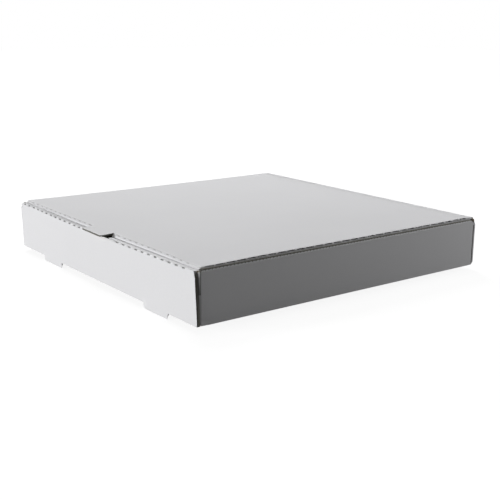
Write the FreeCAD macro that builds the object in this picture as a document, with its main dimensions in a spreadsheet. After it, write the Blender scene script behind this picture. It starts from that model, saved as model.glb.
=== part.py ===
import FreeCAD, Part
import math
import os
import Sketcher

# A folding pizza box of corrugated board, closed, in millimetres.
# +Z is up, the front wall faces -Y, and z = 0 is the plane that the two feet stand on.

SHEET = "Dimensions"

SIZES = {
    "box_width": (315.0, "outside, across the side walls"),
    "box_depth": (315.0, "outside, front wall to back wall"),
    "box_height": (46.0, "from the floor's underside to the lid's top"),
    "board": (1.6, "thickness of the corrugated board"),
    "front_drop": (3.0, "top of the front wall below the lid's top"),
    "side_drop": (2.9, "top of the side walls below the lid's top"),
    "wall_corner": (5.0, "round on the walls' top corners"),
    "near_corner": (1.2, "round on the side walls' top corners at the front"),
    "fold_round": (2.0, "outer round where a side wall folds into its ears"),
    "roll_play": (0.6, "play between the rolled-over front panel and a side wall"),
    "front_ear": (70.0, "length of a side wall's front ear, inside the front wall"),
    "rear_ear": (60.0, "length of a side wall's rear ear, inside the back wall"),
    "ear_play": (0.8, "how far a front ear stops below the rolled-over edge"),
    "rear_ear_drop": (6.0, "how far a rear ear stops below the side wall's top"),
    "foot_drop": (5.0, "how far the feet stand out below the floor"),
    "foot_width": (38.0, "width of a foot"),
    "foot_far_round": (4.0, "round on the lower left corner of a foot"),
    "foot_near_round": (1.2, "round on the lower right corner of a foot"),
    "foot_spacing": (188.5, "between the centres of the two feet"),
    "front_shift": (4.0, "how far the feet, the notch and the tongue lie right of the middle"),
    "slot_play": (1.0, "play at each end of a lock tab in its opening"),
    "notch_width": (47.0, "thumb notch in the front wall's rolled-over edge"),
    "notch_depth": (14.0, "depth of the thumb notch down the inner panel"),
    "tongue_width": (36.0, "thumb tongue of the lid"),
    "tongue_overhang": (6.0, "how far the tongue reaches past the front wall"),
    "tongue_round": (1.5, "round on the tongue's front corners"),
    "tongue_play": (1.5, "gap between the tongue and the opening it leaves in the flap"),
    "front_play": (0.4, "gap between the lid's front fold and the rolled-over front wall"),
    "side_play": (1.6, "gap between the lid's side folds and the side walls"),
    "rear_play": (1.0, "gap between a side flap and a rear ear"),
    "hinge_play": (0.3, "gap between the back wall and the lid at the crease"),
    "front_bend": (1.8, "outer radius of the bend along the lid's front edge"),
    "side_bend": (1.2, "outer radius of the bends along the lid's side edges"),
    "front_flap": (34.0, "height of the lid's front flap"),
    "rear_bend": (1.2, "round along the lid's rear edge, at the crease"),
    "slit_length": (3.8, "length of one slit of the perforated folds"),
    "slit_depth": (0.9, "how far a slit cuts into the folded edge"),
    "slit_pitch": (9.87, "from one slit to the next"),
    "wall_slit_start": (34.8, "from the notch's middle to the front wall's nearest slits"),
    "lid_slit_start": (22.0, "from the tongue's middle to the lid's nearest slits"),
    "front_slant": (4.0, "how far the front flap's lower edge leans inwards"),
    "side_flap": (38.0, "height of the lid's side flaps"),
    "side_slope": (60.0, "length over which a side flap tapers at its rear end"),
    "side_heel": (10.0, "height of a side flap at its rear end"),
    "flap_corner": (8.0, "round on the flaps' lower corners"),
    "flap_slit": (9.0, "gap between the front flap and a side flap"),
}


def make_sheet(doc):
    """The driving dimensions, one row each."""
    sheet = doc.addObject("Spreadsheet::Sheet", SHEET)
    for row, (alias, (value, meaning)) in enumerate(SIZES.items(), start=1):
        sheet.set("A%d" % row, alias)
        sheet.set("B%d" % row, str(value))
        sheet.set("C%d" % row, meaning)
        sheet.setAlias("B%d" % row, alias)
    doc.recompute()
    return sheet


def bound(text):
    """An expression with each dimension's name pointed at the sheet."""
    words = text.replace("(", " ( ").replace(")", " ) ").split()
    return " ".join(SHEET + "." + word if word in SIZES else word for word in words)


def value_of(sheet, text):
    """The present value of an expression."""
    return float(sheet.evalExpression(bound(text)))


def origin_plane(body, role):
    """One of the body's own origin planes."""
    return next(plane for plane in body.Origin.OriginFeatures if plane.Role == role)


def outline_sketch(body, name, role, outlines, offset=None):
    """A sketch on an origin plane with closed outlines, whose corners are pairs of expressions."""
    sheet = body.Document.getObject(SHEET)
    sketch = body.newObject("Sketcher::SketchObject", name)
    sketch.AttachmentSupport = [(origin_plane(body, role), "")]
    sketch.MapMode = "FlatFace"
    if offset:
        sketch.setExpression("AttachmentOffset.Base.z", bound(offset))
    for corners in outlines:
        first = sketch.GeometryCount
        places = [FreeCAD.Vector(value_of(sheet, x), value_of(sheet, y), 0) for x, y in corners]
        ends = places[1:] + places[:1]
        for start, end in zip(places, ends):
            sketch.addGeometry(Part.LineSegment(start, end), False)
        for i, corner in enumerate(corners):
            following = first + (i + 1) % len(corners)
            sketch.addConstraint(Sketcher.Constraint("Coincident", first + i, 2, following, 1))
            for kind, text, value in zip(("DistanceX", "DistanceY"), corner, places[i]):
                index = sketch.addConstraint(Sketcher.Constraint(kind, -1, 1, first + i, 1, value))
                sketch.setExpression("Constraints[%d]" % index, bound(text))
    return sketch


def rectangle(left, right, low, high):
    """The corners of a rectangle, as expressions."""
    return [(left, low), (right, low), (right, high), (left, high)]


def extrude(body, kind, name, role, outlines, length, offset=None, symmetric=False, reverse=False):
    """A pad or a pocket of closed outlines; a pocket has to take material away."""
    sketch = outline_sketch(body, name + "_outline", role, outlines, offset)
    return finish_extrusion(body, kind, name, sketch, length, symmetric, reverse)


def finish_extrusion(body, kind, name, sketch, length, symmetric, reverse):
    """A pad or a pocket of a sketch, which has to add or take away material."""
    before = body.Shape.Volume if body.Shape and not body.Shape.isNull() else 0.0
    feature = body.newObject("PartDesign::" + kind, name)
    feature.Profile = sketch
    feature.SideType = "Symmetric" if symmetric else "One side"
    feature.Reversed = reverse
    feature.setExpression("Length", bound(length))
    body.Document.recompute()
    grown = body.Shape.Volume - before
    if (grown < 0) != (kind == "Pocket"):
        raise ValueError("%s changes the volume of %s by %.1f" % (name, body.Label, grown))
    return feature


def trim_corner(body, name, side, edge, top, radius):
    """Takes a rounded top corner off the walls that face along X; side is 1 at the rear, -1 in front."""
    sheet = body.Document.getObject(SHEET)
    sketch = body.newObject("Sketcher::SketchObject", name + "_outline")
    sketch.AttachmentSupport = [(origin_plane(body, "YZ_Plane"), "")]
    sketch.MapMode = "FlatFace"
    size = value_of(sheet, radius)
    corner = FreeCAD.Vector(value_of(sheet, edge), value_of(sheet, top), 0)
    inward = FreeCAD.Vector(-size * float(side), 0, 0)
    down = FreeCAD.Vector(0, -size, 0)
    angles = (0.0, math.pi / 2) if side == "1" else (math.pi / 2, math.pi)
    circle = Part.Circle(corner + inward + down, FreeCAD.Vector(0, 0, 1), size)
    sketch.addGeometry(Part.ArcOfCircle(circle, *angles), False)
    sketch.addGeometry(Part.LineSegment(corner + inward, corner), False)
    sketch.addGeometry(Part.LineSegment(corner, corner + down), False)
    low_end, high_end = (1, 2) if side == "1" else (2, 1)
    sketch.addConstraint(Sketcher.Constraint("Coincident", 1, 2, 2, 1))
    sketch.addConstraint(Sketcher.Constraint("Coincident", 2, 2, 0, low_end))
    sketch.addConstraint(Sketcher.Constraint("Horizontal", 1))
    sketch.addConstraint(Sketcher.Constraint("Vertical", 2))
    sketch.addConstraint(Sketcher.Constraint("Tangent", 0, high_end, 1, 1))
    for kind, text, value in (("DistanceX", edge, corner.x), ("DistanceY", top, corner.y)):
        index = sketch.addConstraint(Sketcher.Constraint(kind, -1, 1, 1, 2, value))
        sketch.setExpression("Constraints[%d]" % index, bound(text))
    sketch.addConstraint(Sketcher.Constraint("Equal", 1, 2))
    index = sketch.addConstraint(Sketcher.Constraint("Radius", 0, size))
    sketch.setExpression("Constraints[%d]" % index, bound(radius))
    return finish_extrusion(body, "Pocket", name, sketch, "box_width", True, False)


def round_edges(body, name, wanted, radius):
    """A fillet on the edges of the body that the test picks."""
    base = body.Tip
    names = ["Edge%d" % (i + 1) for i, edge in enumerate(base.Shape.Edges) if wanted(edge)]
    if not names:
        raise ValueError("no edge for " + name)
    fillet = body.newObject("PartDesign::Fillet", name)
    fillet.Base = (base, names)
    fillet.setExpression("Radius", bound(radius))
    body.Document.recompute()
    if not fillet.isValid() or fillet.Shape.isNull():
        raise ValueError("%s failed on %s" % (name, names))
    return fillet


def runs_along(edge, axis, *middle):
    """Whether an edge is straight along an axis, with its middle at the coordinates that aren't None."""
    if edge.Degenerated or edge.Curve.TypeId != "Part::GeomLine":
        return False
    ends = [vertex.Point for vertex in edge.Vertexes]
    direction = (ends[1] - ends[0]).normalize()
    if abs(abs(direction[axis]) - 1) > NEAR:
        return False
    centre = (ends[0] + ends[1]) * 0.5
    return all(want is None or abs(have - want) < NEAR for have, want in zip(centre, middle))


NEAR = 1e-4

HALF_WIDTH = "box_width / 2"
FRONT = "tongue_overhang / 2 - box_depth / 2"
BACK = "tongue_overhang / 2 + box_depth / 2"
ROLL_BACK = FRONT + " + 3 * board"
FLOOR_TOP = "foot_drop + board"
LID_TOP = "foot_drop + box_height"
LID_UNDER = "foot_drop + box_height - board"
FRONT_TOP = "foot_drop + box_height - front_drop"
SIDE_TOP = "foot_drop + box_height - side_drop"
FRONT_EAR_TOP = "foot_drop + box_height - front_drop - board - ear_play"
REAR_EAR_TOP = "foot_drop + box_height - side_drop - rear_ear_drop"
BACK_TOP = "foot_drop + box_height - board - hinge_play"
LID_SIDE = "box_width / 2 - board - side_play"
LID_FRONT = FRONT + " + 3 * board + front_play"


def mirrored(corners):
    """The same outline on the other side of the first axis."""
    return [("-1 * ( " + x + " )", y) for x, y in corners]


def foot_ends():
    """The left and right end of each foot."""
    centres = ["front_shift + " + side + " * foot_spacing / 2" for side in ("-1", "1")]
    return [(centre + " - foot_width / 2", centre + " + foot_width / 2") for centre in centres]


def cut_slits(body, name, offset, top, start, counts):
    """A row of slits along a folded edge, on both sides of the thumb notch."""
    for side, count in counts.items():
        sign = "-1" if side == "left" else "1"
        middle = "front_shift + " + sign + " * " + start
        slit = rectangle(middle + " - slit_length / 2", middle + " + slit_length / 2",
                         top + " - slit_depth", top)
        first = extrude(body, "Pocket", name + "_slit_" + side, "XZ_Plane", [slit], "slit_depth", offset)
        row = body.newObject("PartDesign::LinearPattern", name + "_slits_" + side)
        row.Originals = [first]
        row.Direction = (first.Profile[0], ["H_Axis"])
        row.Reversed = side == "left"
        row.Occurrences = count
        row.setExpression("Length", bound("%d * slit_pitch" % (count - 1)))
        body.Tip = row
        body.Document.recompute()
        if not row.isValid():
            raise ValueError(row.Name + " failed")


def side_wall_strip():
    """Plan of a side wall with an ear folded in at each end, as one bent strip."""
    inside = HALF_WIDTH + " - board"
    front_face = FRONT + " + board"
    rear_face = BACK + " - board"
    front_tip = HALF_WIDTH + " - front_ear"
    rear_tip = HALF_WIDTH + " - rear_ear"
    return [
        (front_tip, front_face),
        (HALF_WIDTH, front_face),
        (HALF_WIDTH, rear_face),
        (rear_tip, rear_face),
        (rear_tip, rear_face + " - board"),
        (inside, rear_face + " - board"),
        (inside, front_face + " + board"),
        (front_tip, front_face + " + board"),
    ]


def make_tray(doc):
    """Floor, walls, ears and lock tabs: the lower part of the folded sheet."""
    body = doc.addObject("PartDesign::Body", "tray")
    sheet = doc.getObject(SHEET)
    half = value_of(sheet, HALF_WIDTH)

    floor = rectangle("-1 * " + HALF_WIDTH, HALF_WIDTH, FRONT, BACK)
    extrude(body, "Pad", "floor", "XY_Plane", [floor], "board", "foot_drop")

    openings = [rectangle(left, right, FRONT + " + board", FRONT + " + board + foot_drop")
                for left, right in foot_ends()]
    extrude(body, "Pocket", "floor_openings", "XY_Plane", openings, "2 * board", "foot_drop - board / 2",
            reverse=True)

    strip = side_wall_strip()
    wall_height = "box_height - side_drop - board"
    extrude(body, "Pad", "side_walls", "XY_Plane", [strip, mirrored(strip)], wall_height, FLOOR_TOP)
    fold_lines = [value_of(sheet, FRONT + " + board"), value_of(sheet, BACK + " - board")]
    round_edges(body, "ear_folds", lambda edge: any(runs_along(edge, 2, side * half, fold_line, None)
                                                    for side in (1, -1) for fold_line in fold_lines),
                "fold_round")
    front_cut = rectangle(FRONT + " + board", FRONT + " + 2 * board", FRONT_EAR_TOP, LID_TOP)
    extrude(body, "Pocket", "front_ear_tops", "YZ_Plane", [front_cut], "box_width - 2 * board", symmetric=True)
    rear_cut = rectangle(BACK + " - 2 * board", BACK + " - board", REAR_EAR_TOP, LID_TOP)
    extrude(body, "Pocket", "rear_ear_tops", "YZ_Plane", [rear_cut], "box_width - 2 * board", symmetric=True)
    trim_corner(body, "side_wall_rear_corners", "1", BACK + " - board", SIDE_TOP, "wall_corner")
    trim_corner(body, "side_wall_front_corners", "-1", FRONT + " + board", SIDE_TOP, "near_corner")

    back_wall = rectangle(BACK + " - board", BACK, FLOOR_TOP, BACK_TOP)
    extrude(body, "Pad", "back_wall", "YZ_Plane", [back_wall], "box_width", symmetric=True)
    front_wall = rectangle(FRONT, FRONT + " + board", FLOOR_TOP, FRONT_TOP)
    extrude(body, "Pad", "front_wall", "YZ_Plane", [front_wall], "box_width", symmetric=True)
    round_edges(body, "front_wall_corners",
                lambda edge: any(runs_along(edge, 1, side * half, None, value_of(sheet, FRONT_TOP))
                                 for side in (1, -1)), "wall_corner")

    roll = [
        (FRONT, FRONT_TOP + " - board"),
        (FRONT, FRONT_TOP),
        (ROLL_BACK, FRONT_TOP),
        (ROLL_BACK, FLOOR_TOP),
        (ROLL_BACK + " - board", FLOOR_TOP),
        (ROLL_BACK + " - board", FRONT_TOP + " - board"),
    ]
    extrude(body, "Pad", "rolled_panel", "YZ_Plane", [roll], "box_width - 2 * board - 2 * roll_play",
            symmetric=True)

    feet = [rectangle(left, right, "0", FLOOR_TOP) for left, right in foot_ends()]
    extrude(body, "Pad", "feet", "XZ_Plane", feet, "board", "-1 * ( " + FRONT + " + board )")
    far_ends = [value_of(sheet, left) for left, right in foot_ends()]
    near_ends = [value_of(sheet, right) for left, right in foot_ends()]
    round_edges(body, "feet_far_corners",
                lambda edge: any(runs_along(edge, 1, end, None, 0) for end in far_ends), "foot_far_round")
    round_edges(body, "feet_near_corners",
                lambda edge: any(runs_along(edge, 1, end, None, 0) for end in near_ends), "foot_near_round")
    tabs = [rectangle(left + " + slot_play", right + " - slot_play", "foot_drop", FLOOR_TOP)
            for left, right in foot_ends()]
    extrude(body, "Pad", "lock_tabs", "XZ_Plane", tabs, "board", "-1 * ( " + ROLL_BACK + " )")

    notch = rectangle("front_shift - notch_width / 2", "front_shift + notch_width / 2",
                      FRONT_TOP + " - notch_depth", LID_TOP)
    extrude(body, "Pocket", "thumb_notch", "XZ_Plane", [notch], "2 * board", "-1 * ( " + FRONT + " + board )")
    cut_slits(body, "wall", "-1 * ( " + FRONT + " )", FRONT_TOP, "wall_slit_start", {"left": 13, "right": 11})
    return body


def make_lid(doc):
    """Lid panel with its thumb tongue and the three flaps tucked inside the walls."""
    body = doc.addObject("PartDesign::Body", "lid")
    sheet = doc.getObject(SHEET)
    lid_under = value_of(sheet, LID_UNDER)
    lid_top = value_of(sheet, LID_TOP)
    flap_foot = LID_TOP + " - front_flap"
    foot_front = LID_FRONT + " + front_slant"
    section = [
        (BACK, LID_TOP),
        (BACK, LID_UNDER),
        (LID_FRONT + " + board", LID_UNDER),
        (foot_front + " + board", flap_foot),
        (foot_front, flap_foot),
        (LID_FRONT, LID_TOP),
    ]
    extrude(body, "Pad", "panel_and_front_flap", "YZ_Plane", [section], "2 * ( " + LID_SIDE + " )",
            symmetric=True)
    lid_front = value_of(sheet, LID_FRONT)
    board = value_of(sheet, "board")
    round_edges(body, "front_bend_outside",
                lambda edge: runs_along(edge, 0, None, lid_front, lid_top), "front_bend")
    round_edges(body, "front_bend_inside",
                lambda edge: runs_along(edge, 0, None, lid_front + board, lid_under),
                "front_bend - board")
    round_edges(body, "rear_bend",
                lambda edge: runs_along(edge, 0, None, value_of(sheet, BACK), lid_top), "rear_bend")
    flap_end = rectangle(LID_SIDE + " - flap_slit", LID_SIDE + " + board", "0", LID_UNDER)
    extrude(body, "Pocket", "flap_slits", "XZ_Plane", [flap_end, mirrored(flap_end)],
            "front_slant + 2 * board", "-1 * ( " + LID_FRONT + " )")

    flap_front = LID_FRONT + " + flap_slit"
    flap_rear = BACK + " - 2 * board - rear_play"
    side = [
        (flap_front, LID_UNDER),
        (flap_front, LID_TOP + " - side_flap"),
        (flap_rear + " - side_slope", LID_TOP + " - side_flap"),
        (flap_rear, LID_TOP + " - side_heel"),
        (flap_rear, LID_UNDER),
    ]
    extrude(body, "Pad", "right_flap", "YZ_Plane", [side], "board", LID_SIDE + " - board")
    extrude(body, "Pad", "left_flap", "YZ_Plane", [side], "board", "-1 * ( " + LID_SIDE + " )")

    tongue = rectangle("front_shift - tongue_width / 2", "front_shift + tongue_width / 2",
                       FRONT + " - tongue_overhang", LID_FRONT + " + 2 * front_bend")
    extrude(body, "Pad", "thumb_tongue", "XY_Plane", [tongue], "board", LID_UNDER)
    half_tongue = value_of(sheet, "tongue_width / 2")
    shift = value_of(sheet, "front_shift")
    front = value_of(sheet, FRONT + " - tongue_overhang")
    round_edges(body, "tongue_corners",
                lambda edge: any(runs_along(edge, 2, shift + side * half_tongue, front, None)
                                 for side in (1, -1)), "tongue_round")
    lid_side = value_of(sheet, LID_SIDE)
    round_edges(body, "side_bends",
                lambda edge: any(runs_along(edge, 1, side * lid_side, None, lid_top) for side in (1, -1)),
                "side_bend")
    flap_end_x = value_of(sheet, LID_SIDE + " - flap_slit")
    foot = value_of(sheet, flap_foot)
    round_edges(body, "front_flap_corners",
                lambda edge: any(runs_along(edge, 1, side * flap_end_x, None, foot) for side in (1, -1)),
                "flap_corner")
    flap_corner_y = value_of(sheet, flap_front)
    flap_corner_z = value_of(sheet, LID_TOP + " - side_flap")
    round_edges(body, "side_flap_corners",
                lambda edge: runs_along(edge, 0, None, flap_corner_y, flap_corner_z), "flap_corner")
    opening = rectangle("front_shift - tongue_width / 2 - tongue_play",
                        "front_shift + tongue_width / 2 + tongue_play",
                        LID_UNDER + " - notch_depth", LID_UNDER)
    extrude(body, "Pocket", "tongue_opening", "XZ_Plane", [opening], "3 * board + front_slant",
            "-1 * ( " + LID_FRONT + " )")
    cut_slits(body, "lid", "-1 * ( " + LID_FRONT + " )", LID_TOP, "lid_slit_start", {"left": 13, "right": 13})
    return body


def check(doc, labels):
    """Stops if any object failed or a sub-part's shape is unusable."""
    for item in doc.Objects:
        if "Invalid" in item.State or "Error" in item.State:
            raise ValueError("%s failed: %s" % (item.Name, item.State))
    for label in labels:
        shape = doc.getObjectsByLabel(label)[0].Shape
        if shape.isNull() or not shape.isValid():
            raise ValueError(label + " has no valid shape")
        print(label, len(shape.Solids), round(shape.Volume, 1), shape.BoundBox)


def main():
    doc = FreeCAD.newDocument("pizza_box")
    make_sheet(doc)
    bodies = [make_tray(doc), make_lid(doc)]
    doc.recompute()
    check(doc, [body.Label for body in bodies])
    os.makedirs("parts", exist_ok=True)
    for body in bodies:
        body.Shape.exportStep("parts/%s.step" % body.Label)


main()
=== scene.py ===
import math

import bmesh
import bpy
from mathutils import Matrix, Vector


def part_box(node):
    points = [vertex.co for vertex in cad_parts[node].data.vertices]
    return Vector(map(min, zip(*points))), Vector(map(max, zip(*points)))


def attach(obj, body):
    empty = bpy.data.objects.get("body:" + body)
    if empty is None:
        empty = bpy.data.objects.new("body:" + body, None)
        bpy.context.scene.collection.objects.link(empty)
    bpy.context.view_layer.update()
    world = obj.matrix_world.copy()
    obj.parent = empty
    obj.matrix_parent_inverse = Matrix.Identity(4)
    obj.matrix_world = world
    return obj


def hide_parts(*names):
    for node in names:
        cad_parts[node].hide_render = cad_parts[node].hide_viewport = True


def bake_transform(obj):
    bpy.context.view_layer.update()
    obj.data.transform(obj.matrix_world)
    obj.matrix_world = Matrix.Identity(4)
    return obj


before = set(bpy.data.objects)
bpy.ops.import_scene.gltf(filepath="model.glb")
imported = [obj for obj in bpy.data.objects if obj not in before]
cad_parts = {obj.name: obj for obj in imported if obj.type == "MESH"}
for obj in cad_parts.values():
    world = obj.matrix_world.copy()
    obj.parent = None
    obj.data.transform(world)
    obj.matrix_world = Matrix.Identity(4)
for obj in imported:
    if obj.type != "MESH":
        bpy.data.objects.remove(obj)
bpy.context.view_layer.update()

# Sizes of the folded sheet, in metres, as in the part's source.
BOARD = 0.0016
FRONT_DROP = 0.003
SIDE_DROP = 0.0029
WALL_CORNER = 0.005
FRONT_EAR = 0.070
REAR_EAR = 0.060
EAR_PLAY = 0.0008
REAR_EAR_DROP = 0.006
FOOT_DROP = 0.005
FRONT_SHIFT = 0.004
NOTCH_WIDTH = 0.047
NOTCH_DEPTH = 0.014
TONGUE_WIDTH = 0.036
TONGUE_ROUND = 0.0015
FRONT_PLAY = 0.0004
REAR_PLAY = 0.001
HINGE_PLAY = 0.0003
REAR_BEND = 0.0012
SLIT_DEPTH = 0.0009
SIDE_FLAP = 0.038
SIDE_SLOPE = 0.060
FLAP_CORNER = 0.008
FLAP_SLIT = 0.009

# The corrugated core, seen where the board is cut.
FLUTE_PITCH = 0.00345
FLUTE_STEPS = 8
PLAIN_STEP = 0.002
LINER = 0.00022
MEDIUM = 0.0002
MEDIUM_SET_BACK = 0.00008
CORE_DEPTH = 0.0010
CORE_OVERLAP = 0.0001
CUT_REACH = 0.0004
CUT_FACING = 0.6
LEFT_CUT_DELAY = 0.004

# The perforated folds at the lid's sides.
CUT_PITCH = 0.00987
CUT_LENGTH = 0.0080
CUT_HEIGHT = 0.0010
CUT_DEPTH = 0.0018
CUT_TOP = 0.00025
ROW_START = 0.009
ROW_ENDS = 0.012
ROW_BAND = 0.003
ROW_SKIN = 0.001

# Bands next to the folds and corners that get painted shade or show the core.
FOLD_START = 0.0012
FOLD_HEIGHT = 0.001
WALL_END = 0.006
WALL_END_HEIGHT = 0.012
NEAR_FOLD = 0.003
NEAR_FOLD_DEPTH = 0.004
NEAR_FOLD_HEIGHT = 0.02
REAR_CORNER = 0.004
LID_FOLD_DEPTH = 0.003
LID_FOLD_HEIGHT = 0.002

# How far the front wall and its feet have settled, and the spans that these shifts grow or fade over.
BOW = 0.0012
BOW_MIDDLE = 0.02
BOW_HALF = 0.15
SAG = 0.0005
LEFT_END_RISE = 0.0009
LEFT_END_SPAN = (0.05, 0.15)
FOOT_SHIFT = 0.00115
FOOT_SHORT = 0.0013
FOOT_END_SPAN = (0.085, 0.105)
FOOT_SLANT = 0.0028
FRONT_FADE = 0.012

# The same for the side walls.
CRUSH = 0.0009
CRUSH_HEIGHT = 0.004
CRUSH_REAR_SPAN = (0.010, 0.004)
RIM = 0.0010
RIM_CHAMFER = 0.0006
CORNER_FADE = 0.004
EAR_FOLD_SET_BACK = 0.0011
EAR_FOLD_FADE = 0.02

# The same for the back wall and the lower rear corners.
BACK_END_DROP = 0.0036
BACK_END_WIDTH = 0.007
BACK_END_HEIGHT = 0.006
REAR_CORNER_LIFT = 0.0026
REAR_CORNER_HEIGHT = 0.006
REAR_CORNER_DEPTH = 0.0035

# The same for the lid.
FOLD_FADE_SPAN = (0.004, 0.035)
LEFT_FLAP_STRETCH = 0.0040
RIGHT_FLAP_STRETCH = 0.0142
STRETCH_HEIGHT_SPAN = (0.022, 0.006)
LID_WARP = 0.00015
WARP_ACROSS = 21
WARP_ALONG = 17
WARP_START = 0.6
LID_DROP = 0.00035
LID_DROP_FADE = 0.05
LEFT_CORNER_RISE = 0.0002
LEFT_CORNER_START = (-0.04, 0.02)
RIGHT_CORNER_DROP = 0.0008
RIGHT_CORNER_START = (0.115, -0.09)
TONGUE_DROP = 0.0003
TONGUE_DROP_SPAN = (-0.014, 0.022)
REAR_DROP = 0.0007
REAR_DROP_FADE = 0.016

# The strip of liner over the crease, and the board's sink under it.
STRIP_THICKNESS = 0.00025
STRIP_FOOT = 0.004
STRIP_SINK = 0.0003
SINK_START = 0.0048
SINK_END = 0.0045
SINK_LAST = 0.0013

# Meshing: the grid that the board bends along, the sharpest smooth edge and two tolerances.
GRID = 0.012
SHARP_ANGLE = math.radians(24)
HAIR = 0.0001
THIN = 0.00001
FACING = 0.5
STEEP = 0.7

tray_low, tray_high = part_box("tray")
lid_low, lid_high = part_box("lid")
SIDE = tray_high.x
FRONT = tray_low.y
BACK = tray_high.y
FOOT_TIP = tray_low.z
LID_TOP = lid_high.z
LID_SIDE = lid_high.x
TONGUE_TIP = lid_low.y
LID_UNDER = LID_TOP - BOARD
FLOOR_UNDER = FOOT_TIP + FOOT_DROP
FLOOR_TOP = FLOOR_UNDER + BOARD
FRONT_TOP = LID_TOP - FRONT_DROP
SIDE_TOP = LID_TOP - SIDE_DROP
ROLL_BACK = FRONT + 3 * BOARD
LID_FRONT = ROLL_BACK + FRONT_PLAY
BACK_TOP = LID_UNDER - HINGE_PLAY
FLAP_END = LID_SIDE - FLAP_SLIT

X, Y, Z = Vector((1, 0, 0)), Vector((0, 1, 0)), Vector((0, 0, 1))

# Face kinds, in the order of each sheet's material slots. The kinds for slits, fold bands and gaps are
# painted shade; the core's kind has the core's colour with painted shade.
OUTSIDE, INSIDE, CORE_AND_SHADE, SLIT_SHADE, FOLD_SHADE, GAP_SHADE = range(6)


# Cut edges of the board, each as a path of points with the way that the edge faces.

def straight(start, end, outward, step=FLUTE_PITCH / FLUTE_STEPS):
    """Evenly spaced places along a straight cut."""
    count = max(2, round((end - start).length / step) + 1)
    return [(start.lerp(end, i / (count - 1)), outward) for i in range(count)]


def bend(centre, radius, first, second, steps=18):
    """A quarter turn round a cut corner, from facing one way to facing the other."""
    places = []
    for i in range(1, steps):
        angle = math.pi / 2 * i / steps
        outward = first * math.cos(angle) + second * math.sin(angle)
        places.append((centre + outward * radius, outward))
    return places


def tray_cuts():
    """(path, way to the outer liner, fluted) of the tray's cut edges."""
    cuts = []
    for side in (-1, 1):
        middle = side * (SIDE - BOARD / 2)
        rear = BACK - BOARD
        start = FRONT + 2 * BOARD + (0.0 if side > 0 else LEFT_CUT_DELAY)
        top = straight(Vector((middle, start, SIDE_TOP)),
                       Vector((middle, rear - WALL_CORNER, SIDE_TOP)), Z)
        corner = Vector((middle, rear - WALL_CORNER, SIDE_TOP - WALL_CORNER))
        cuts.append((top + bend(corner, WALL_CORNER, Z, Y), side * X, True))
        y = FRONT + BOARD / 2
        cuts.append((straight(Vector((side * SIDE, y, FLOOR_UNDER)),
                              Vector((side * SIDE, y, FRONT_TOP - WALL_CORNER)), side * X), -Y, True))
        ear_top = FRONT_TOP - BOARD - EAR_PLAY
        for y, ear, high in ((FRONT + 1.5 * BOARD, FRONT_EAR, ear_top),
                             (BACK - 1.5 * BOARD, REAR_EAR, SIDE_TOP - REAR_EAR_DROP)):
            cuts.append((straight(Vector((side * (SIDE - ear), y, high)),
                                  Vector((side * (SIDE - 2 * BOARD), y, high)), Z), Y, True))
    return cuts


def lid_cuts():
    """(path, way to the outer liner, fluted) of the lid's cut edges."""
    cuts = []
    left, right = FRONT_SHIFT - TONGUE_WIDTH / 2, FRONT_SHIFT + TONGUE_WIDTH / 2
    z = LID_TOP - BOARD / 2
    tip = straight(Vector((left + TONGUE_ROUND, TONGUE_TIP, z)),
                   Vector((right - TONGUE_ROUND, TONGUE_TIP, z)), -Y, PLAIN_STEP)
    cuts.append((tip, Z, False))
    for x, outward in ((left, -X), (right, X)):
        cuts.append((straight(Vector((x, TONGUE_TIP + TONGUE_ROUND, z)),
                              Vector((x, LID_FRONT - FRONT_PLAY, z)), outward), Z, True))
    flap_foot = LID_TOP - SIDE_FLAP
    front = LID_FRONT + FLAP_SLIT
    rear = BACK - 2 * BOARD - REAR_PLAY
    for side in (-1, 1):
        middle = side * (LID_SIDE - BOARD / 2)
        cuts.append((straight(Vector((middle, front + FLAP_CORNER, flap_foot)),
                              Vector((middle, rear - SIDE_SLOPE, flap_foot)), -Z), side * X, True))
    return cuts


def carve(mesh, path):
    """Sets the cut faces along a path back by the core's depth and gives them the core's kind, whose colour
    holds painted shade.
    """
    points = [place for place, outward in path]
    low = Vector([min(p[i] for p in points) - BOARD for i in range(3)])
    high = Vector([max(p[i] for p in points) + BOARD for i in range(3)])
    moved = {}
    for face in mesh.faces:
        centre = face.calc_center_median()
        if any(centre[i] < low[i] or centre[i] > high[i] for i in range(3)):
            continue
        place, outward = min(path, key=lambda pair: (pair[0] - centre).length_squared)
        along = (centre - place).dot(outward)
        if face.normal.dot(outward) < CUT_FACING or abs(along) > CUT_REACH:
            continue
        face.material_index = CORE_AND_SHADE
        for vert in face.verts:
            moved[vert] = outward
    for vert, outward in moved.items():
        vert.co -= outward * CORE_DEPTH


def strip(mesh, sections, kind):
    """A closed strip of one face kind through four-cornered sections."""
    rows = [[mesh.verts.new(corner) for corner in section] for section in sections]
    faces = [rows[0][::-1], rows[-1]]
    for near, far in zip(rows, rows[1:]):
        faces += [[near[i], near[(i + 1) % 4], far[(i + 1) % 4], far[i]] for i in range(4)]
    for corners in faces:
        mesh.faces.new(corners).material_index = kind


def flute(travelled, swing):
    """Offset and slope of the medium's wave at a distance along a cut across the flutes."""
    phase = 2 * math.pi * travelled / FLUTE_PITCH
    return swing * math.sin(phase), swing * 2 * math.pi / FLUTE_PITCH * math.cos(phase)


def crushed(travelled):
    """Offset, as a share of the swing, of the medium where the cut runs along the flutes."""
    return 0.35 * math.sin(travelled / 0.011) + 0.3 * math.sin(travelled / 0.0047)


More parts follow.
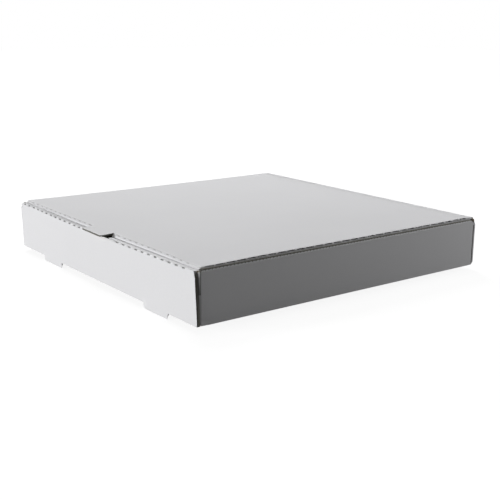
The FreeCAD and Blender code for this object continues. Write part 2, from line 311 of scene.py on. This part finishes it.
def add_core(mesh, path, across, fluted):
    """Both liners' edges and the medium between them, wavy where fluted, standing on a carved edge."""
    sink = CORE_DEPTH + CORE_OVERLAP
    for side in (-1, 1):
        sections = []
        for place, outward in path:
            wide, narrow = side * BOARD / 2, side * (BOARD / 2 - LINER)
            sections.append([place + across * wide - outward * sink, place + across * wide,
                             place + across * narrow, place + across * narrow - outward * sink])
        strip(mesh, sections, OUTSIDE if side > 0 else CORE_AND_SHADE)
    swing = BOARD / 2 - LINER - MEDIUM / 2
    travelled = 0.0
    sections = []
    for i, (place, outward) in enumerate(path):
        if i:
            travelled += (place - path[i - 1][0]).length
        ahead = (path[min(i + 1, len(path) - 1)][0] - path[max(i - 1, 0)][0]).normalized()
        offset, slope = flute(travelled, swing) if fluted else (swing * crushed(travelled), 0.0)
        normal = (across - ahead * slope).normalized() * MEDIUM / 2
        middle = place + across * offset - outward * MEDIUM_SET_BACK
        sections.append([middle - normal - outward * sink, middle - normal,
                         middle + normal, middle + normal - outward * sink])
    strip(mesh, sections, CORE_AND_SHADE)


def in_slit(centre, fold_y, fold_z):
    """Whether a face's middle lies in the row of slits cut into a fold."""
    deep = SLIT_DEPTH + HAIR
    return fold_y + HAIR / 2 < centre.y < fold_y + deep and fold_z - deep < centre.z < fold_z - HAIR / 2


def tray_kind(centre, normal):
    """Which face kind a face of the tray has."""
    reach = abs(centre.x)
    # Painted shade inside the slits of the front wall's fold.
    if in_slit(centre, FRONT, FRONT_TOP):
        return SLIT_SHADE
    # In the notch, faces not facing back are painted near-black as the shade of the box's inside.
    if abs(centre.x - FRONT_SHIFT) < NOTCH_WIDTH / 2 + HAIR and FRONT + HAIR < centre.y < ROLL_BACK \
            and centre.z > FRONT_TOP - NOTCH_DEPTH - HAIR:
        return INSIDE if normal.y > FACING else GAP_SHADE
    # Painted shade on the left half of the roll-over's top, next to the lid's fold.
    if normal.z > STEEP and FRONT + FOLD_START < centre.y < ROLL_BACK and centre.x < 0 \
            and centre.z > FRONT_TOP - FOLD_HEIGHT:
        return FOLD_SHADE
    # The front wall's cut ends near the top get the core colour, with its painted shade.
    if abs(normal.x) > STEEP and reach > SIDE - WALL_END and centre.y < FRONT + BOARD \
            and centre.z > FRONT_TOP - WALL_END_HEIGHT:
        return CORE_AND_SHADE
    # Painted shade on the side walls' front fold roundings, where the front wall's ends shade them.
    if normal.y < -0.3 and reach > SIDE - NEAR_FOLD and centre.z > FRONT_TOP - NEAR_FOLD_HEIGHT \
            and FRONT + BOARD < centre.y < FRONT + BOARD + NEAR_FOLD_DEPTH:
        return SLIT_SHADE
    inside = (
        (normal.z > FACING and centre.z < FLOOR_TOP + BOARD)
        or (normal.x * centre.x < 0 and abs(normal.x) > FACING and reach > SIDE - 2 * BOARD)
        or (normal.y < -FACING and centre.y > BACK - 3 * BOARD)
        or (normal.y > FACING and FRONT + HAIR < centre.y < FRONT + 2.5 * BOARD)
    )
    # Painted shade: the inner faces at the rear corners, seen in shade, take the darker core colour instead
    # of kraft.
    if inside and reach > SIDE - REAR_CORNER and centre.y > BACK - 3 * BOARD:
        return CORE_AND_SHADE
    return INSIDE if inside else OUTSIDE


def lid_kind(centre, normal):
    """Which face kind a face of the lid has."""
    # Painted shade inside the slits of the lid's front fold.
    if in_slit(centre, LID_FRONT, LID_TOP) and abs(normal.z + normal.y) > 0.9:
        return SLIT_SHADE
    # Painted shade that tones down the light on the lid's front fold band.
    if normal.y < -0.25 and normal.z > -0.1 and centre.y < LID_FRONT + LID_FOLD_DEPTH \
            and centre.z > FRONT_TOP - LID_FOLD_HEIGHT:
        return FOLD_SHADE
    inside = (
        normal.z < -FACING
        or (normal.y > FACING and centre.y < LID_FRONT + 4 * BOARD)
        or (normal.x * centre.x < 0 and abs(normal.x) > FACING and centre.z < LID_UNDER)
    )
    return INSIDE if inside else OUTSIDE


# How the folded board has settled: small shifts that grow smoothly, fitted where the photograph shows them.

def smooth(value, start, end):
    """0 before start, 1 after end, with a soft step between."""
    t = max(0.0, min(1.0, (value - start) / (end - start)))
    return t * t * (3 - 2 * t)


def between(value, stops):
    """The height of a line through (place, height) stops at a value."""
    for (start, low), (end, high) in zip(stops, stops[1:]):
        if value <= end:
            return low + (high - low) * (value - start) / (end - start)
    return stops[-1][1]


# How far the front wall's top and the lid's front fold have shifted sideways, as (place, shift).
WALL_SHIFT = ((-0.1580, 0.0), (-0.1490, 0.0024), (-0.0308, 0.0027), (-0.0195, 0.0), (0.0275, -0.0053),
              (0.0340, 0.0011), (0.0388, 0.0022), (0.1375, 0.0034), (0.1470, 0.0024), (0.1580, -0.0024))
FOLD_SHIFT = ((-0.1550, -0.0006), (-0.1490, -0.0030), (-0.1364, -0.0040), (-0.0180, -0.0030),
              (-0.0140, 0.0), (0.0220, -0.0006), (0.0235, -0.0033), (0.0360, -0.0042),
              (0.1444, -0.0076), (0.1484, -0.0076), (0.1540, -0.0006), (0.1550, -0.0006))


def front_wall_shift(point):
    """The front wall's top slips sideways, bows out, sags and rises at its left end; the feet creep in."""
    height = smooth(point.z, FLOOR_UNDER, FRONT_TOP)
    front = 1 - smooth(point.y, ROLL_BACK + 2 * HAIR, ROLL_BACK + FRONT_FADE)
    outer = 1 - smooth(point.y, FRONT + BOARD + HAIR, FRONT + BOARD + 6 * HAIR)
    moved = front if abs(point.x) < SIDE - BOARD - 3 * HAIR else outer
    bow = max(0.0, 1 - ((point.x - BOW_MIDDLE) / BOW_HALF) ** 2)
    foot = FOOT_SHIFT * (1 - point.x / SIDE)
    if point.z < FLOOR_UNDER - HAIR:
        foot -= FOOT_SHORT * smooth(point.x - FRONT_SHIFT, *FOOT_END_SPAN)
        foot -= FOOT_SLANT * smooth(point.y, FRONT + 2 * HAIR, FRONT + BOARD)
    rise = LEFT_END_RISE * smooth(-point.x, *LEFT_END_SPAN)
    return Vector((moved * (foot * (1 - height) * outer + between(point.x, WALL_SHIFT) * height),
                   -front * height * BOW * bow,
                   -front * height * (SAG * bow - rise)))


def side_wall_shift(point):
    """The side walls' cut tops slant down to a rounded outer rim; their front folds lie further back."""
    reach = abs(point.x)
    wall = smooth(reach, SIDE - BOARD - 2 * HAIR, SIDE - BOARD) \
        * smooth(point.y, FRONT + BOARD, FRONT + 2 * BOARD)
    rear_start, rear_end = CRUSH_REAR_SPAN
    slant = wall * smooth(point.z, SIDE_TOP - CRUSH_HEIGHT, SIDE_TOP - 6 * HAIR) \
        * (1 - smooth(point.y, BACK - rear_start, BACK - rear_end))
    rim = wall * smooth(reach, SIDE - 4 * HAIR, SIDE) * smooth(point.z, SIDE_TOP - RIM, SIDE_TOP)
    near_fold = smooth(reach, SIDE - CORNER_FADE, SIDE) \
        * smooth(point.y, FRONT + BOARD - THIN, FRONT + BOARD) \
        * (1 - smooth(point.y, FRONT + 3 * BOARD, FRONT + EAR_FOLD_FADE))
    return Vector((-math.copysign(RIM_CHAMFER, point.x) * rim,
                   EAR_FOLD_SET_BACK * near_fold,
                   slant * CRUSH * (SIDE - reach) / BOARD))


def back_wall_shift(point):
    """The back wall's top ends droop, it sinks under the crease strip and its lower corners round off."""
    reach = abs(point.x)
    low = 1 - smooth(point.z, FLOOR_UNDER, FLOOR_UNDER + REAR_CORNER_HEIGHT)
    corner = smooth(reach, SIDE - CORNER_FADE, SIDE) * smooth(point.y, BACK - REAR_CORNER_DEPTH, BACK) ** 2
    shift = Vector((0, 0, REAR_CORNER_LIFT * low * corner))
    if point.y > BACK - BOARD + THIN:
        top_end = smooth(reach, SIDE - BACK_END_WIDTH, SIDE) \
            * smooth(point.z, BACK_TOP - BACK_END_HEIGHT, BACK_TOP)
        shift.z -= BACK_END_DROP * top_end
    if point.y > BACK - HAIR:
        shift.y -= STRIP_SINK * smooth(point.z, BACK_TOP - SINK_START, BACK_TOP - SINK_END)
    return shift


def settle_tray(point):
    """Where a point of the tray has settled to."""
    return point + front_wall_shift(point) + side_wall_shift(point) + back_wall_shift(point)


def settle_lid(point):
    """The front fold creeps sideways, its corners stand up or droop and the crease pulls the rear down."""
    fold_start, fold_end = FOLD_FADE_SPAN
    fold = 1 - smooth(point.y, LID_FRONT + fold_start, LID_FRONT + fold_end)
    shift = Vector((fold * between(point.x, FOLD_SHIFT), 0, 0))
    if point.y < LID_FRONT + BOARD + 2 * HAIR and point.z < LID_UNDER:
        low, high = STRETCH_HEIGHT_SPAN
        flap_end = smooth(abs(point.x), FLAP_END - 7 * HAIR, FLAP_END - HAIR) \
            * smooth(point.z, LID_TOP - low, LID_TOP - high)
        shift.x += (RIGHT_FLAP_STRETCH if point.x > 0 else -LEFT_FLAP_STRETCH) * flap_end
    x, y = LEFT_CORNER_START
    left = smooth(-point.x, -x, LID_SIDE) * smooth(-point.y, -y, -LID_FRONT)
    x, y = RIGHT_CORNER_START
    right = smooth(point.x, x, LID_SIDE) * smooth(-point.y, -y, -LID_FRONT)
    tip = smooth(-point.y, -ROLL_BACK, -TONGUE_TIP) * smooth(point.x, *TONGUE_DROP_SPAN)
    panel = smooth(BACK - point.y, 0.0, LID_DROP_FADE)
    rear = smooth(point.y, BACK - REAR_DROP_FADE, BACK)
    warp = LID_WARP * math.sin(point.x * WARP_ACROSS + WARP_START) * math.cos(point.y * WARP_ALONG)
    shift.y = -STRIP_SINK * smooth(point.y, BACK - SINK_END, BACK - SINK_LAST)
    shift.z = panel * (warp - LID_DROP) - RIGHT_CORNER_DROP * right + LEFT_CORNER_RISE * left \
        - TONGUE_DROP * tip - REAR_DROP * rear \
        - STRIP_SINK * smooth(point.y, BACK - SINK_START, BACK - SINK_END)
    return point + shift


def slice_mesh(mesh, normal, places, wanted=None):
    """Cuts the wanted faces by planes across an axis."""
    for place in places:
        faces = [face for face in mesh.faces if wanted is None or wanted(face.calc_center_median())]
        geometry = faces + list({edge for face in faces for edge in face.edges})
        geometry += list({vert for face in faces for vert in face.verts})
        bmesh.ops.bisect_plane(mesh, geom=geometry, plane_co=normal * place, plane_no=normal)


def perforate_sides(mesh):
    """Cuts in a row along the lid's side folds, pushed into the board, with painted near-black shade
    inside.
    """
    band = LID_SIDE - ROW_BAND
    low, high = LID_TOP - CUT_TOP - CUT_HEIGHT, LID_TOP - CUT_TOP
    slice_mesh(mesh, X, [-band, band])
    slice_mesh(mesh, Z, [low, high], lambda centre: abs(centre.x) > band)
    count = int((BACK - LID_FRONT - ROW_ENDS) / CUT_PITCH)
    middles = [LID_FRONT + ROW_START + CUT_PITCH * i for i in range(count)]
    ends = [middle + side * CUT_LENGTH / 2 for middle in middles for side in (-1, 1)]
    slice_mesh(mesh, Y, ends, lambda centre: abs(centre.x) > band)
    holes = []
    for face in mesh.faces:
        centre = face.calc_center_median()
        outer = abs(centre.x) > LID_SIDE - ROW_SKIN and face.normal.x * centre.x > 0.0
        if outer and low < centre.z < high \
                and any(abs(centre.y - middle) < CUT_LENGTH / 2 for middle in middles):
            holes.append(face)
    pushed = bmesh.ops.extrude_face_region(mesh, geom=holes)["geom"]
    for item in pushed:
        if isinstance(item, bmesh.types.BMVert):
            item.co.x -= math.copysign(CUT_DEPTH, item.co.x)
        # The cuts' faces are painted near-black shade.
        if isinstance(item, bmesh.types.BMFace):
            item.material_index = GAP_SHADE
    bmesh.ops.delete(mesh, geom=holes, context="FACES")
    mesh.normal_update()


def gridded(source, fine_heights=(), fine_depths=()):
    """A copy of a node's mesh, cut along a grid so that it can bend."""
    mesh = bmesh.new()
    mesh.from_mesh(source.data)
    bmesh.ops.remove_doubles(mesh, verts=mesh.verts, dist=1e-6)
    for axis, normal in enumerate((X, Y, Z)):
        low = min(vert.co[axis] for vert in mesh.verts)
        high = max(vert.co[axis] for vert in mesh.verts)
        count = int((high - low) / GRID)
        for i in range(1, count + 1):
            slice_mesh(mesh, normal, [low + (high - low) * i / (count + 1)])
    slice_mesh(mesh, Z, fine_heights)
    slice_mesh(mesh, Y, fine_depths)
    mesh.normal_update()
    return mesh


def mark_faces(mesh, kind):
    """Gives each face its kind, as the material's index."""
    for face in mesh.faces:
        face.material_index = kind(face.calc_center_median(), face.normal)


def prepare_tray(mesh):
    """Face kinds, and cut lines where the board sinks under the crease strip."""
    mark_faces(mesh, tray_kind)
    slice_mesh(mesh, Z, [BACK_TOP - SINK_START, BACK_TOP - SINK_END], lambda centre: centre.y > BACK - 0.01)


def prepare_lid(mesh):
    """Face kinds, with the front fold's painted-shade band cut apart, and the perforated side folds."""
    slice_mesh(mesh, Z, [FRONT_TOP - LID_FOLD_HEIGHT], lambda centre: centre.y < LID_FRONT + LID_FOLD_DEPTH)
    mark_faces(mesh, lid_kind)
    perforate_sides(mesh)


def add_piece(name, mesh, materials):
    """A mesh as an object of the scene, with its material slots."""
    data = bpy.data.meshes.new(name)
    mesh.to_mesh(data)
    mesh.free()
    for material in materials:
        data.materials.append(material)
    piece = bpy.data.objects.new(name, data)
    bpy.context.scene.collection.objects.link(piece)
    return piece


def folded_sheet(node, prepare, cuts, settle, materials, fine_heights=(), fine_depths=()):
    """The node's board with liners, cut edges and settled folds."""
    mesh = gridded(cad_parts[node], fine_heights, fine_depths)
    prepare(mesh)
    for path, across, fluted in cuts:
        carve(mesh, path)
    for path, across, fluted in cuts:
        add_core(mesh, path, across, fluted)
    for vert in mesh.verts:
        vert.co = settle(vert.co)
    piece = add_piece(node + "_board", mesh, materials)
    piece.data.polygons.foreach_set("use_smooth", [True] * len(piece.data.polygons))
    piece.data.set_sharp_from_angle(angle=SHARP_ANGLE)
    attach(piece, node)
    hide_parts(node)


def crease_strip(materials):
    """The outer liner where the back wall turns into the lid."""
    top = LID_TOP - REAR_DROP
    corner = Vector((0, BACK - REAR_BEND, top - REAR_BEND))
    profile = [Vector((0, BACK, BACK_TOP - STRIP_FOOT)), Vector((0, BACK, BACK_TOP - STRIP_FOOT / 4)),
               Vector((0, BACK, BACK_TOP)), Vector((0, BACK, corner.z))]
    profile += [place for place, outward in bend(corner, REAR_BEND, Y, Z, 6)]
    profile += [Vector((0, corner.y, top)), Vector((0, BACK - STRIP_FOOT, top + HAIR))]
    box_inside = Vector((0, BACK - 0.05, LID_TOP - 0.05))
    mesh = bmesh.new()
    rows = []
    for i, place in enumerate(profile):
        ahead = (profile[min(i + 1, len(profile) - 1)] - profile[max(i - 1, 0)]).normalized()
        inward = ahead.cross(X).normalized() * STRIP_THICKNESS
        if inward.dot(box_inside - place) < 0:
            inward.negate()
        rows.append([mesh.verts.new(place + X * x + shift)
                     for x in (-LID_SIDE, LID_SIDE) for shift in (Vector(), inward)])
    for near, far in zip(rows, rows[1:]):
        for a, b, kind in ((0, 2, OUTSIDE), (3, 1, INSIDE), (1, 0, OUTSIDE), (2, 3, OUTSIDE)):
            mesh.faces.new([near[a], near[b], far[b], far[a]]).material_index = kind
    mesh.faces.new([rows[0][i] for i in (0, 1, 3, 2)])
    mesh.faces.new([rows[-1][i] for i in (2, 3, 1, 0)])
    bmesh.ops.recalc_face_normals(mesh, faces=mesh.faces)
    piece = add_piece("crease", mesh, materials)
    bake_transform(piece)


# The papers' look: specular level, noise scales per metre and the grain's bump.
SPECULAR = 0.3
CLOUD_SCALE = 14
FIBRE_SCALE = 900
GRAIN_STRENGTH = 0.12
GRAIN_HEIGHT = 0.0003


def paper(name, colour, rough, mottle, fibre):
    """Board liner or core, or a painted shade: faint cloudy tone, fine fibres and a very light grain."""
    material = bpy.data.materials.new(name)
    material.use_nodes = True
    nodes = material.node_tree.nodes
    links = material.node_tree.links
    shader = nodes["Principled BSDF"]
    shader.inputs["Roughness"].default_value = rough
    shader.inputs["Specular IOR Level"].default_value = SPECULAR
    place = nodes.new("ShaderNodeTexCoord")

    def noise(scale, detail):
        texture = nodes.new("ShaderNodeTexNoise")
        texture.inputs["Scale"].default_value = scale
        texture.inputs["Detail"].default_value = detail
        links.new(place.outputs["Object"], texture.inputs["Vector"])
        return texture.outputs["Fac"]

    cloud = noise(CLOUD_SCALE, 4)
    fibres = noise(FIBRE_SCALE, 6)
    tone = nodes.new("ShaderNodeMix")
    tone.data_type = "RGBA"
    tone.inputs[6].default_value = [c * (1 - mottle) for c in colour] + [1]
    tone.inputs[7].default_value = [min(1, c * (1 + mottle)) for c in colour] + [1]
    links.new(cloud, tone.inputs[0])
    speck = nodes.new("ShaderNodeMix")
    speck.data_type = "RGBA"
    speck.blend_type = "MULTIPLY"
    speck.inputs[0].default_value = fibre
    links.new(tone.outputs[2], speck.inputs[6])
    links.new(fibres, speck.inputs[7])
    links.new(speck.outputs[2], shader.inputs["Base Color"])
    bump = nodes.new("ShaderNodeBump")
    bump.inputs["Strength"].default_value = GRAIN_STRENGTH
    bump.inputs["Distance"].default_value = GRAIN_HEIGHT
    links.new(fibres, bump.inputs["Height"])
    links.new(bump.outputs["Normal"], shader.inputs["Normal"])
    return material


# The floor: its size and diffuse tone, and its glow near the box and far from it.
FLOOR_SIZE = 12
FLOOR_TONE = 0.2
GLOW_NEAR = 0.9
GLOW_FAR = 1.0
GLOW_START = 0.3
GLOW_END = 0.7


def make_floor():
    """A white floor that keeps the object's soft shadow."""
    bpy.ops.mesh.primitive_plane_add(size=FLOOR_SIZE, location=(0, 0, FOOT_TIP))
    floor = bpy.context.object
    floor.name = "floor"
    material = bpy.data.materials.new("floor")
    material.use_nodes = True
    nodes = material.node_tree.nodes
    links = material.node_tree.links
    nodes.clear()
    out = nodes.new("ShaderNodeOutputMaterial")
    path = nodes.new("ShaderNodeLightPath")
    dull = nodes.new("ShaderNodeBsdfDiffuse")
    dull.inputs["Color"].default_value = (FLOOR_TONE, FLOOR_TONE, FLOOR_TONE, 1)
    glow = nodes.new("ShaderNodeEmission")
    place = nodes.new("ShaderNodeTexCoord")
    far = nodes.new("ShaderNodeVectorMath")
    far.operation = "LENGTH"
    links.new(place.outputs["Object"], far.inputs[0])
    rise = nodes.new("ShaderNodeMapRange")
    rise.interpolation_type = "SMOOTHSTEP"
    rise.inputs["From Min"].default_value = GLOW_START
    rise.inputs["From Max"].default_value = GLOW_END
    rise.inputs["To Min"].default_value = GLOW_NEAR
    rise.inputs["To Max"].default_value = GLOW_FAR
    links.new(far.outputs["Value"], rise.inputs["Value"])
    links.new(rise.outputs[0], glow.inputs["Strength"])
    shown = nodes.new("ShaderNodeAddShader")
    links.new(dull.outputs[0], shown.inputs[0])
    links.new(glow.outputs[0], shown.inputs[1])
    seen = path.outputs["Is Camera Ray"]
    for other in ("Is Glossy Ray", "Is Transmission Ray"):
        either = nodes.new("ShaderNodeMath")
        either.operation = "MAXIMUM"
        links.new(seen, either.inputs[0])
        links.new(path.outputs[other], either.inputs[1])
        seen = either.outputs[0]
    mix = nodes.new("ShaderNodeMixShader")
    links.new(seen, mix.inputs[0])
    links.new(dull.outputs[0], mix.inputs[1])
    links.new(shown.outputs[0], mix.inputs[2])
    links.new(mix.outputs[0], out.inputs["Surface"])
    floor.data.materials.append(material)


def make_world(ambient):
    """White to the camera, a low even light to the object."""
    world = bpy.data.worlds.new("studio")
    bpy.context.scene.world = world
    world.use_nodes = True
    nodes = world.node_tree.nodes
    links = world.node_tree.links
    path = nodes.new("ShaderNodeLightPath")
    strength = nodes.new("ShaderNodeMapRange")
    strength.inputs["To Min"].default_value = ambient
    strength.inputs["To Max"].default_value = 1.0
    links.new(path.outputs["Is Camera Ray"], strength.inputs["Value"])
    background = nodes["Background"]
    background.inputs["Color"].default_value = (1, 1, 1, 1)
    links.new(strength.outputs[0], background.inputs["Strength"])


def make_lamp(name, direction, distance, size, energy):
    """A square lamp that looks at the box's middle."""
    data = bpy.data.lights.new(name, "AREA")
    data.size = size
    data.energy = energy
    lamp = bpy.data.objects.new(name, data)
    bpy.context.scene.collection.objects.link(lamp)
    target = Vector((0, 0, LID_TOP / 2))
    lamp.location = target + Vector(direction).normalized() * distance
    lamp.rotation_euler = (target - lamp.location).to_track_quat("-Z", "Y").to_euler()


# Camera: solved on the box's edges in the photograph, which is 500 by 500 pixels. The sensor is in metres.
PHOTO_SIZE = 500.0
FOCAL_PIXELS = 903.0
CAMERA_AZIMUTH = math.radians(52.7)
CAMERA_ELEVATION = math.radians(14.17)
CAMERA_ROLL = math.radians(0.53)
CAMERA_PLACE = Vector((0.6891, -0.5103, 0.2263))
SENSOR = 0.036


def make_camera():
    """A plain pinhole camera at the photograph's place and angle."""
    data = bpy.data.cameras.new("camera")
    data.sensor_width = SENSOR * 1000
    data.lens = FOCAL_PIXELS / PHOTO_SIZE * data.sensor_width
    data.clip_start = 0.01
    camera = bpy.data.objects.new("camera", data)
    bpy.context.scene.collection.objects.link(camera)
    level = math.cos(CAMERA_ELEVATION)
    ahead = Vector((-math.sin(CAMERA_AZIMUTH) * level, math.cos(CAMERA_AZIMUTH) * level,
                    -math.sin(CAMERA_ELEVATION)))
    right = Vector((math.cos(CAMERA_AZIMUTH), math.sin(CAMERA_AZIMUTH), 0.0))
    up = right.cross(ahead)
    turn, lift = math.cos(CAMERA_ROLL), math.sin(CAMERA_ROLL)
    rolled_right = turn * right + lift * up
    rolled_up = turn * up - lift * right
    basis = Matrix((rolled_right, rolled_up, -ahead)).transposed().to_4x4()
    camera.matrix_world = Matrix.Translation(CAMERA_PLACE) @ basis
    bpy.context.scene.camera = camera


white = paper("white_liner", (0.83, 0.83, 0.845), 0.62, 0.02, 0.06)
kraft = paper("kraft_liner", (0.50, 0.375, 0.24), 0.8, 0.05, 0.25)
# The core's own colour, darkened with painted shade for the flutes' hollows; it also paints shade at the
# rear corners.
core = paper("core", (0.34, 0.335, 0.30), 0.85, 0.05, 0.25)
# Painted shade: a flat grey for the shade inside the slits and on the side walls' shaded front folds.
slit_shade = paper("slit_shade", (0.45, 0.45, 0.45), 0.85, 0.05, 0.1)
# Painted shade: a darker white that tones down the light on the fold bands.
fold = paper("fold", (0.67, 0.67, 0.68), 0.62, 0.02, 0.1)
# Painted shade: near-black for the notch's opening and the side cuts, where only deep shade is seen.
gap_shade = paper("gap_shade", (0.07, 0.07, 0.065), 0.85, 0.05, 0.1)
papers = (white, kraft, core, slit_shade, fold, gap_shade)

# Places where the boards get finer cut lines than the grid's, so that they bend well there.
below_slits = [FRONT_TOP - SLIT_DEPTH - drop for drop in (0.0, 0.0015, 0.004, 0.008)]
near_back = [BACK - depth for depth in (0.0035, 0.0025, 0.0016, 0.0008)]
behind_slits = [LID_FRONT + SLIT_DEPTH + depth for depth in (0.0, 0.0015, 0.004, 0.008, 0.016)]
before_crease = [BACK - SINK_START, BACK - SINK_END]

folded_sheet("tray", prepare_tray, tray_cuts(), settle_tray, papers,
             fine_heights=below_slits, fine_depths=near_back)
folded_sheet("lid", prepare_lid, lid_cuts(), settle_lid, papers,
             fine_depths=behind_slits + before_crease)
crease_strip((white, kraft))

make_camera()
make_floor()
make_world(ambient=0.05)
make_lamp("front", (-0.38, -0.9, 0.12), 8.0, 2.4, 610)
make_lamp("left", (-0.62, 0.25, 0.72), 1.7, 0.8, 14.5)
make_lamp("top", (-0.1, 0.0, 1.0), 1.9, 0.9, 6.4)
make_lamp("far_side", (0.5, 0.8, 0.3), 0.95, 0.4, 2.3)
bpy.context.scene.view_settings.view_transform = "Standard"
